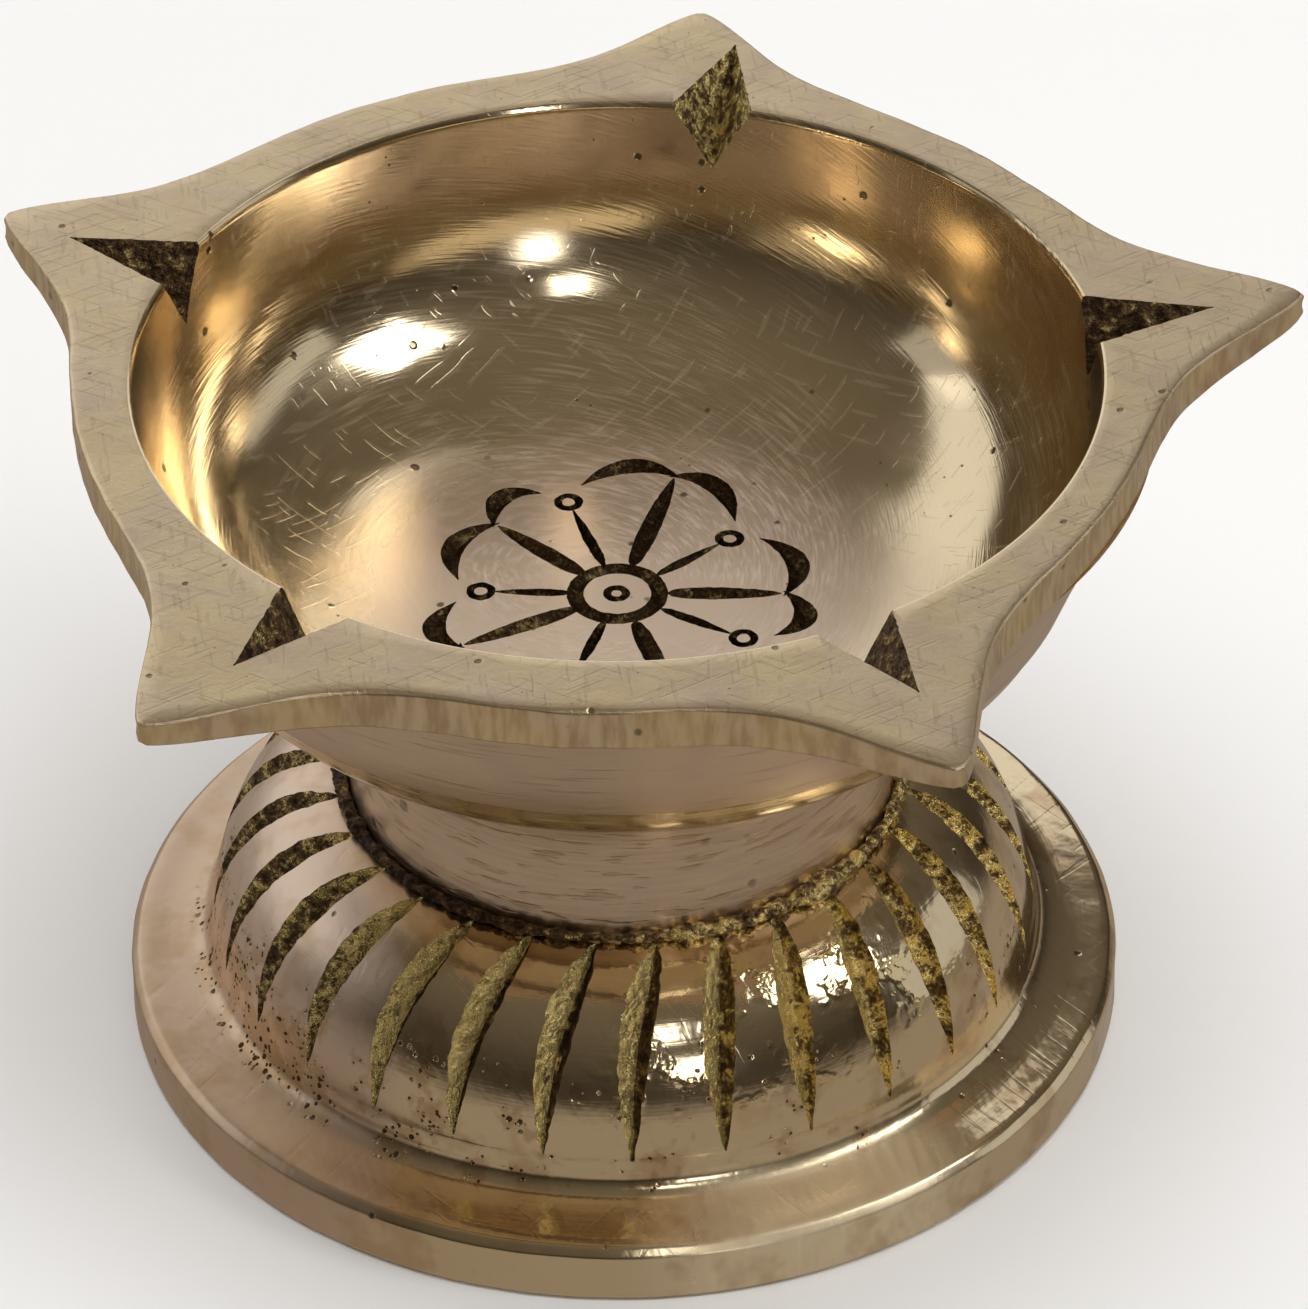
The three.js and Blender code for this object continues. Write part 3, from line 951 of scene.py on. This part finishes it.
def flute_ring_tree():
    """A Geometry Nodes tree that sets copies of a cutter round the axis and tears their walls."""
    tree = bpy.data.node_groups.new("flute_ring", "GeometryNodeTree")
    graph = Graph(tree)
    for name, kind in (
        ("Geometry", "Geometry"),
        ("Count", "Int"),
        ("Phase", "Float"),
        ("Turn Spread", "Float"),
        ("Size Spread", "Float"),
        ("Tear", "Float"),
        ("Seed", "Int"),
        ("Material", "Material"),
    ):
        tree.interface.new_socket(name, in_out="INPUT", socket_type="NodeSocket" + kind)
    tree.interface.new_socket("Geometry", in_out="OUTPUT", socket_type="NodeSocketGeometry")
    entry = tree.nodes.new("NodeGroupInput")
    given = {socket.name: Signal(graph, socket) for socket in entry.outputs if socket.name}
    index = graph.node("GeometryNodeInputIndex")
    turn_chance, size_chance = (
        graph.node(
            "FunctionNodeRandomValue", {"data_type": "FLOAT"}, {2: -1.0, 3: 1.0, "Seed": seed}, 1
        )
        for seed in (given["Seed"], given["Seed"] + 7.0)
    )
    turn = index * (2 * math.pi) / given["Count"] + given["Phase"] + turn_chance * given["Turn Spread"]
    size = size_chance * given["Size Spread"] + 1.0
    angles = graph.node("ShaderNodeCombineXYZ", {}, {2: turn})
    rotation = graph.node("FunctionNodeEulerToRotation", {}, {0: angles})
    scale = graph.node("ShaderNodeCombineXYZ", {}, {0: size, 1: size, 2: 1.0})
    points = graph.node("GeometryNodePoints", {}, {"Count": given["Count"]})
    copies = graph.node(
        "GeometryNodeInstanceOnPoints",
        {},
        {"Points": points, "Instance": given["Geometry"], "Rotation": rotation, "Scale": scale},
    )
    solid = graph.node("GeometryNodeRealizeInstances", {}, {"Geometry": copies})
    position = graph.node("GeometryNodeInputPosition")
    lumps_per_metre = 1100.0
    coarse = graph.node(
        "ShaderNodeTexNoise", {}, {"Vector": position, "Scale": lumps_per_metre, "Detail": 2.0}
    )
    normal = graph.node("GeometryNodeInputNormal")
    amount = (coarse - 0.5) * given["Tear"]
    push = graph.node("ShaderNodeVectorMath", {"operation": "SCALE"}, {0: normal, "Scale": amount})
    torn = graph.node("GeometryNodeSetPosition", {}, {"Geometry": solid, "Offset": push})
    dressed = graph.node("GeometryNodeSetMaterial", {}, {"Geometry": torn, "Material": given["Material"]})
    end = tree.nodes.new("NodeGroupOutput")
    graph.feed(end.inputs["Geometry"], dressed)
    return tree


def run_tree(piece, tree, values):
    """Runs a Geometry Nodes tree on a piece with the named values, and keeps a plain mesh."""
    modifier = piece.modifiers.new(tree.name, "NODES")
    modifier.node_group = tree
    for item in tree.interface.items_tree:
        if item.in_out == "INPUT" and item.name in values:
            modifier[item.identifier] = values[item.name]
    replace_mesh(piece)


def flute_cutters(sizes):
    """All the flutes as one cutter."""
    material = finish_named("flute_cast")
    cutter = mesh_object("flutes", flute_mesh(sizes), [material])
    run_tree(cutter, flute_ring_tree(), {
        "Count": sizes.flute_count,
        "Phase": math.radians(2.4),
        "Turn Spread": math.radians(0.5),
        "Size Spread": 0.006,
        "Tear": 0.45 * MM,
        "Seed": 4,
        "Material": material,
    })
    return cutter


# Settings.


class DiyaSizes(bpy.types.PropertyGroup):
    """Sizes of the hand-cut details, in millimetres."""

    notch_length: FloatProperty(name="Notch length", description="Length of a wick notch", default=7.4)
    notch_width: FloatProperty(name="Notch width", description="Width of a wick notch", default=5.0)
    notch_depth: FloatProperty(name="Notch depth", description="Depth of a wick notch", default=4.3)
    flute_count: IntProperty(name="Flutes", description="Flutes round the foot", default=29, min=3)
    flute_width: FloatProperty(name="Flute width", description="Width of a flute", default=2.0)
    flute_depth: FloatProperty(name="Flute depth", description="Depth of a flute", default=1.15)
    flute_lean: FloatProperty(
        name="Flute lean", description="Turn from a flute's top to its end",
        default=math.radians(-5.5), subtype="ANGLE",
    )


class DiyaLooks(bpy.types.PropertyGroup):
    """Colours of the metal's finishes."""

    polished: FloatVectorProperty(
        name="Polished", description="Polished brass", subtype="COLOR", default=(0.81, 0.67, 0.45)
    )
    satin: FloatVectorProperty(
        name="Satin", description="Ground brass", subtype="COLOR", default=(0.84, 0.69, 0.48)
    )
    blush: FloatVectorProperty(
        name="Blush", description="Dull pinkish brass", subtype="COLOR", default=(0.76, 0.60, 0.48)
    )
    worn: FloatVectorProperty(
        name="Worn", description="Brass darkened by handling", subtype="COLOR", default=(0.55, 0.38, 0.22)
    )
    gilt: FloatVectorProperty(
        name="Gilt", description="As-cast yellow grains", subtype="COLOR", default=(0.92, 0.74, 0.30)
    )
    umber: FloatVectorProperty(
        name="Umber", description="Dirt between the grains", subtype="COLOR", default=(0.17, 0.105, 0.05)
    )
    patina: FloatVectorProperty(
        name="Patina", description="Old dark patina", subtype="COLOR", default=(0.045, 0.026, 0.014)
    )


class DiyaStudio(bpy.types.PropertyGroup):
    """The camera, floor and lights round the lamp."""

    azimuth: FloatProperty(
        name="Azimuth", description="Camera's turn round the lamp",
        default=math.radians(11.2), subtype="ANGLE",
    )
    elevation: FloatProperty(
        name="Elevation", description="Camera's height angle",
        default=math.radians(37.1), subtype="ANGLE",
    )
    roll: FloatProperty(
        name="Roll", description="Camera's roll", default=math.radians(-0.5), subtype="ANGLE"
    )
    lens: FloatProperty(name="Lens", description="Focal length in millimetres", default=201.4)
    floor: FloatVectorProperty(
        name="Floor", description="Floor colour", subtype="COLOR", default=(0.86, 0.86, 0.86)
    )


# Operators.


class DIYA_OT_star_bowl(bpy.types.Operator):
    """Makes the star-shaped oil bowl with its notches and its chased flower"""

    bl_idname = "diya.star_bowl"
    bl_label = "Star Bowl"

    def execute(self, context):
        rows, bands = bowl_rows(BOWL_SIDES)
        finishes = [finish_named(name) for name in BOWL_FINISHES]
        bowl = turned("brass_bowl", rows, bands, finishes, closed=False)
        carve(bowl, [notch_cutters(context.scene.diya_sizes), *flower_cutters()])
        finish_piece(bowl, BOWL, "star_bowl")
        return {"FINISHED"}


class DIYA_OT_foot(bpy.types.Operator):
    """Makes the hollow fluted foot"""

    bl_idname = "diya.foot"
    bl_label = "Fluted Foot"

    def execute(self, context):
        dome = (DOME_RADIUS - NECK_RADIUS, NECK_BOTTOM - DOME_BOTTOM)
        profile = Profile((HOLE_RADIUS, NECK_BOTTOM)).to((NECK_RADIUS - 0.5, NECK_BOTTOM))
        profile.to(*ellipse_arc((NECK_RADIUS, DOME_BOTTOM), dome, 90, 6, 40))
        shelf = [(25.95, 5.9), (26.2, 5.1), (26.9, 4.5), (28.4, 4.15), (30.1, 3.98)]
        profile.to(*curve_through(shelf, 5))
        start = len(profile.points)
        profile.to(
            (FLANGE_RADIUS - 0.5, FLANGE_EDGE),
            (FLANGE_RADIUS, FLANGE_EDGE - 0.55),
            (FLANGE_RADIUS - 0.05, 2.0),
            (FLANGE_RADIUS, 0.3),
            (FLANGE_RADIUS - 0.4, 0),
            (FLANGE_RADIUS - WALL, 0),
            (FLANGE_RADIUS - WALL - 0.6, 1),
        )
        cuts = {0: 0.2, 1: 0.2, 3: 0.15, 4: 0.15, 5: 0.3}
        rounded = profile.rounded({start + i: cut for i, cut in cuts.items()})
        hollow = (dome[0] - 1.6, WEB_BOTTOM - 4)
        rounded.to(*ellipse_arc((NECK_RADIUS - 1.5, DOME_BOTTOM - 1), hollow, 0, 90, 18))
        rounded.to((HOLE_RADIUS, WEB_BOTTOM))

        def worn(rows):
            """Knocks in the flange's edge, which only take metal away."""
            flat = rows.reshape(-1, 3)
            radius = np.linalg.norm(flat[:, :2], axis=1)
            edge = fade(FLANGE_RADIUS - 1.2, FLANGE_RADIUS - 0.1, radius)
            knock = -0.07 * np.abs(ripple(flat, 3.5, 31)) * edge
            flat[:, :2] *= (1 + knock / np.maximum(radius, 1))[:, None]
            return flat.reshape(rows.shape)

        finishes = [finish_named("worn_foot"), finish_named("flute_cast")]
        foot = turned_profile("brass_foot", rounded, FOOT_SIDES, finishes, worn)
        carve(foot, [flute_cutters(context.scene.diya_sizes)])
        finish_piece(foot, PEDESTAL, "fluted_foot")
        return {"FINISHED"}


class DIYA_OT_neck(bpy.types.Operator):
    """Makes the turned neck collar and the rough brazing round its lower edge"""

    bl_idname = "diya.neck"
    bl_label = "Neck"

    def execute(self, context):
        bore = BOSS_RADIUS + 0.5
        waist = [
            (NECK_RADIUS, NECK_BOTTOM + 0.1),
            (NECK_RADIUS - 0.2, NECK_BOTTOM + 2.4),
            (NECK_RADIUS - 0.4, NECK_BOTTOM + 4.7),
            (NECK_RADIUS - 0.3, NECK_BOTTOM + 7.0),
            (NECK_RADIUS + 0.1, NECK_TOP - 0.15),
        ]
        profile = Profile((bore, NECK_BOTTOM)).to((NECK_RADIUS - 0.1, NECK_BOTTOM))
        profile.to(*curve_through(waist, 8))
        profile.to((NECK_RADIUS - 0.05, NECK_TOP), (bore + 0.3, NECK_TOP), (bore, NECK_TOP - 0.3))
        neck = turned_profile("brass_neck", profile, NECK_SIDES, [finish_named("turned_neck")])
        finish_piece(neck, PEDESTAL, "neck_collar")
        make_braze()
        return {"FINISHED"}


def make_braze():
    """The brazing: a lumpy bead that thickens to blobs on one side."""
    around = 20
    centre_radius = NECK_RADIUS + 0.45
    centre_height = NECK_BOTTOM + 0.35
    ring = turn_row(centre_radius, 0.0, BRAZE_SIDES)
    lumps = ripple(ring, 1.1, 51) + 0.8 * ripple(ring, 0.5, 53)
    degrees = np.arange(BRAZE_SIDES) * (360 / BRAZE_SIDES)
    blobs = np.exp(-(((degrees - 322) / 9) ** 2)) + 0.8 * np.exp(-(((degrees - 300) / 5) ** 2))
    thin = np.exp(-(((degrees - 277) / 16) ** 2))
    size = 0.38 - 0.16 * thin + 0.16 * lumps + 0.5 * blobs * (0.55 + 1.1 * ripple(ring, 1.4, 57))
    size = np.clip(size, 0.13, 0.98)
    rows = []
    for k in range(around):
        angle = 2 * math.pi * k / around
        radius = centre_radius + size * math.cos(angle) * 1.15
        rows.append(turn_row(radius, centre_height + size * math.sin(angle) * 1.05, BRAZE_SIDES))
    grid = np.array(rows)
    flat = grid.reshape(-1, 3)
    tear = 0.16 * ripple(flat, 0.42, 61) + 0.08 * ripple(flat, 0.2, 67)
    radius = np.linalg.norm(flat[:, :2], axis=1)
    flat = flat + np.column_stack([flat[:, :2] / radius[:, None], np.ones(len(flat))]) * tear[:, None]
    bead = turned("brazing", flat.reshape(grid.shape), [0] * around, [finish_named("braze_cast")])
    finish_piece(bead, PEDESTAL, "braze_fillet", 60)


class DIYA_OT_fastening(bpy.types.Operator):
    """Makes the threaded stud, the washer and the nut inside the foot"""

    bl_idname = "diya.fastening"
    bl_label = "Fastening"

    def execute(self, context):
        finish = finish_named("dull_fastener")
        self.stud(finish)
        self.washer(finish)
        self.nut(finish)
        return {"FINISHED"}

    def stud(self, finish):
        """A stud with a real helical thread, chamfered at both ends."""
        pitch = 1.0
        thread = 0.55
        chamfer = 0.75
        turn = np.arange(STUD_SIDES) / STUD_SIDES
        rows = [turn_row(0.0, STUD_LOW.z, STUD_SIDES)]
        for height in np.arange(STUD_LOW.z, STUD_HIGH.z + 1e-6, pitch / 10):
            wave = np.abs(((height / pitch - turn) % 1) * 2 - 1)
            groove = thread * (1 - np.clip(wave * 1.3 - 0.15, 0, 1))
            end = min(height - STUD_LOW.z, STUD_HIGH.z - height)
            limit = STUD_RADIUS - chamfer + min(end, chamfer)
            rows.append(turn_row(np.minimum(STUD_RADIUS - groove, limit), height, STUD_SIDES))
        rows.append(turn_row(0.0, STUD_HIGH.z, STUD_SIDES))
        stud = turned("threaded_stud", rows, [0] * len(rows), [finish], False)
        finish_piece(stud, PEDESTAL, "joining_stud")

    def washer(self, finish):
        """A stamped washer with one rounded edge."""
        low, high, outer = WASHER_LOW.z, WASHER_HIGH.z, WASHER_HIGH.x
        profile = Profile((HOLE_RADIUS, low)).to(
            (outer, low), (outer, high), (HOLE_RADIUS, high), (HOLE_RADIUS, low + 0.1)
        ).rounded({1: 0.25, 2: 0.1, 3: 0.08})
        washer = turned_profile("flat_washer", profile, WASHER_SIDES, [finish])
        finish_piece(washer, PEDESTAL, "stud_washer")

    def nut(self, finish):
        """A hexagon nut: six flats with turned chamfers and a countersunk bore."""
        low, high = NUT_LOW.z, NUT_HIGH.z
        half = NUT_HIGH.y
        countersink = 0.35
        angles = np.arange(NUT_SIDES) * (2 * math.pi / NUT_SIDES)
        from_corner = (angles % (math.pi / 3)) - math.pi / 6
        hexagon = np.minimum(half / np.cos(from_corner), NUT_HIGH.x - 0.08)
        outline = [(HOLE_RADIUS + countersink, low)]
        for height in (low, low + 0.3, low + 0.6, low + 0.9, high - 0.9, high - 0.6, high - 0.3, high):
            end = min(height - low, high - height)
            outline.append((np.minimum(hexagon, half - 0.05 + end * 1.4), height))
        outline.append((HOLE_RADIUS + countersink, high))
        outline += [(HOLE_RADIUS, high - countersink), (HOLE_RADIUS, low + countersink)]
        rows = [turn_row(radius, height, NUT_SIDES) for radius, height in outline]
        nut = turned("hexagon_nut", rows, [0] * len(rows), [finish])
        finish_piece(nut, PEDESTAL, "stud_nut")


class DIYA_OT_stage(bpy.types.Operator):
    """Makes the pale floor, the soft studio light and the camera"""

    bl_idname = "diya.stage"
    bl_label = "Stage"

    def execute(self, context):
        scene = context.scene
        self.floor(scene.diya_studio)
        self.world(scene)
        self.lights(scene.diya_studio)
        self.camera(scene, scene.diya_studio)
        return {"FINISHED"}

    def floor(self, studio):
        """A wide round floor just under the foot."""
        shape = bmesh.new()
        bmesh.ops.create_circle(shape, cap_ends=True, segments=96, radius=FLOOR_SPREAD)
        mesh = bpy.data.meshes.new("studio_floor")
        shape.to_mesh(mesh)
        shape.free()
        material = bpy.data.materials.new("pale_floor")
        material.use_nodes = True
        shader = material.node_tree.nodes["Principled BSDF"]
        shader.inputs["Base Color"].default_value = (*studio.floor, 1.0)
        shader.inputs["Roughness"].default_value = 0.7
        mesh.materials.append(material)
        floor = bpy.data.objects.new("studio_floor", mesh)
        floor.location.z = -FLOOR_GAP * MM
        floor.visible_glossy = False
        bpy.context.scene.collection.objects.link(floor)

    def world(self, scene):
        """A dim room, lighter below the horizon, where the floor throws light back."""
        world = bpy.data.worlds.new("studio_room")
        world.use_nodes = True
        graph = Graph(world.node_tree)
        way = graph.node("ShaderNodeTexCoord", output="Generated")
        height = graph.node("ShaderNodeSeparateXYZ", {}, {0: way}, 2)
        colour = (0.33, 0.285, 0.24, 1)
        for start, end, above in (
            (-0.15, 0.05, (0.052, 0.042, 0.031, 1)),
            (0.2, 1.0, (0.17, 0.143, 0.108, 1)),
        ):
            span = {"Value": height, "From Min": start, "From Max": end}
            share = graph.node("ShaderNodeMapRange", {}, span)
            colour = graph.node("ShaderNodeMix", {"data_type": "RGBA"}, {0: share, 6: colour, 7: above}, 2)
        graph.feed(world.node_tree.nodes["Background"].inputs["Color"], colour)
        scene.world = world
        scene.view_settings.view_transform = "Standard"

    def lights(self, studio):
        """Windows in front and to the right, glows behind and on both sides, and a fill overhead."""
        aim = Vector((0, 0, RIM_TOP * MM * 0.6))
        for name, (azimuth, elevation, distance, size, radiance, glossy) in SOFTBOXES.items():
            light = bpy.data.lights.new(name, "AREA")
            light.shape = "RECTANGLE"
            light.size, light.size_y = size
            light.energy = radiance * math.pi * size[0] * size[1]
            turn = math.radians(azimuth) + studio.azimuth
            climb = math.radians(elevation)
            way = Vector((
                math.sin(turn) * math.cos(climb), -math.cos(turn) * math.cos(climb), math.sin(climb)
            ))
            made = bpy.data.objects.new(name, light)
            made.location = aim + way * distance
            made.rotation_euler = way.to_track_quat("Z", "Y").to_euler()
            made.visible_camera = False
            made.visible_glossy = glossy
            bpy.context.scene.collection.objects.link(made)

    def camera(self, scene, studio):
        """A long lens that looks down at the lamp's middle."""
        lens = bpy.data.cameras.new("camera")
        lens.lens = studio.lens
        lens.sensor_width = 36
        lens.sensor_fit = "HORIZONTAL"
        camera = bpy.data.objects.new("camera", lens)
        turn = Matrix.Rotation(studio.azimuth, 3, "Z")
        away = CAMERA_DISTANCE * BOWL_RADIUS * MM
        aim = turn @ Vector(CAMERA_AIM) * BOWL_RADIUS * MM
        climb = studio.elevation
        back = turn @ Vector((0, -math.cos(climb), math.sin(climb)))
        camera.location = aim + back * away
        level = back.to_track_quat("Z", "Y")
        camera.rotation_mode = "QUATERNION"
        camera.rotation_quaternion = level @ Matrix.Rotation(studio.roll, 3, "Z").to_quaternion()
        scene.collection.objects.link(camera)
        scene.camera = camera


class DIYA_PT_maker(bpy.types.Panel):
    """Lists the lamp's pieces and settings"""

    bl_label = "Brass Diya"
    bl_space_type = "VIEW_3D"
    bl_region_type = "UI"
    bl_category = "Diya"

    def draw(self, context):
        layout = self.layout
        for operator in OPERATORS:
            layout.operator(operator.bl_idname)
        for group in (context.scene.diya_sizes, context.scene.diya_looks, context.scene.diya_studio):
            column = layout.column()
            for name in group.__annotations__:
                column.prop(group, name)


OPERATORS = (DIYA_OT_stage, DIYA_OT_star_bowl, DIYA_OT_foot, DIYA_OT_neck, DIYA_OT_fastening)
GROUPS = {"diya_sizes": DiyaSizes, "diya_looks": DiyaLooks, "diya_studio": DiyaStudio}


def register():
    """Registers the settings, the operators and the panel."""
    for kind in (*GROUPS.values(), *OPERATORS, DIYA_PT_maker):
        bpy.utils.register_class(kind)
    for name, group in GROUPS.items():
        setattr(bpy.types.Scene, name, PointerProperty(type=group))


def unregister():
    """Takes them away again."""
    for name in GROUPS:
        delattr(bpy.types.Scene, name)
    for kind in reversed((*GROUPS.values(), *OPERATORS, DIYA_PT_maker)):
        bpy.utils.unregister_class(kind)


def main():
    """Makes the whole lamp and its stage."""
    register()
    bpy.ops.diya.stage()
    bpy.ops.diya.star_bowl()
    bpy.ops.diya.foot()
    bpy.ops.diya.neck()
    bpy.ops.diya.fastening()


if __name__ == "__main__":
    main()
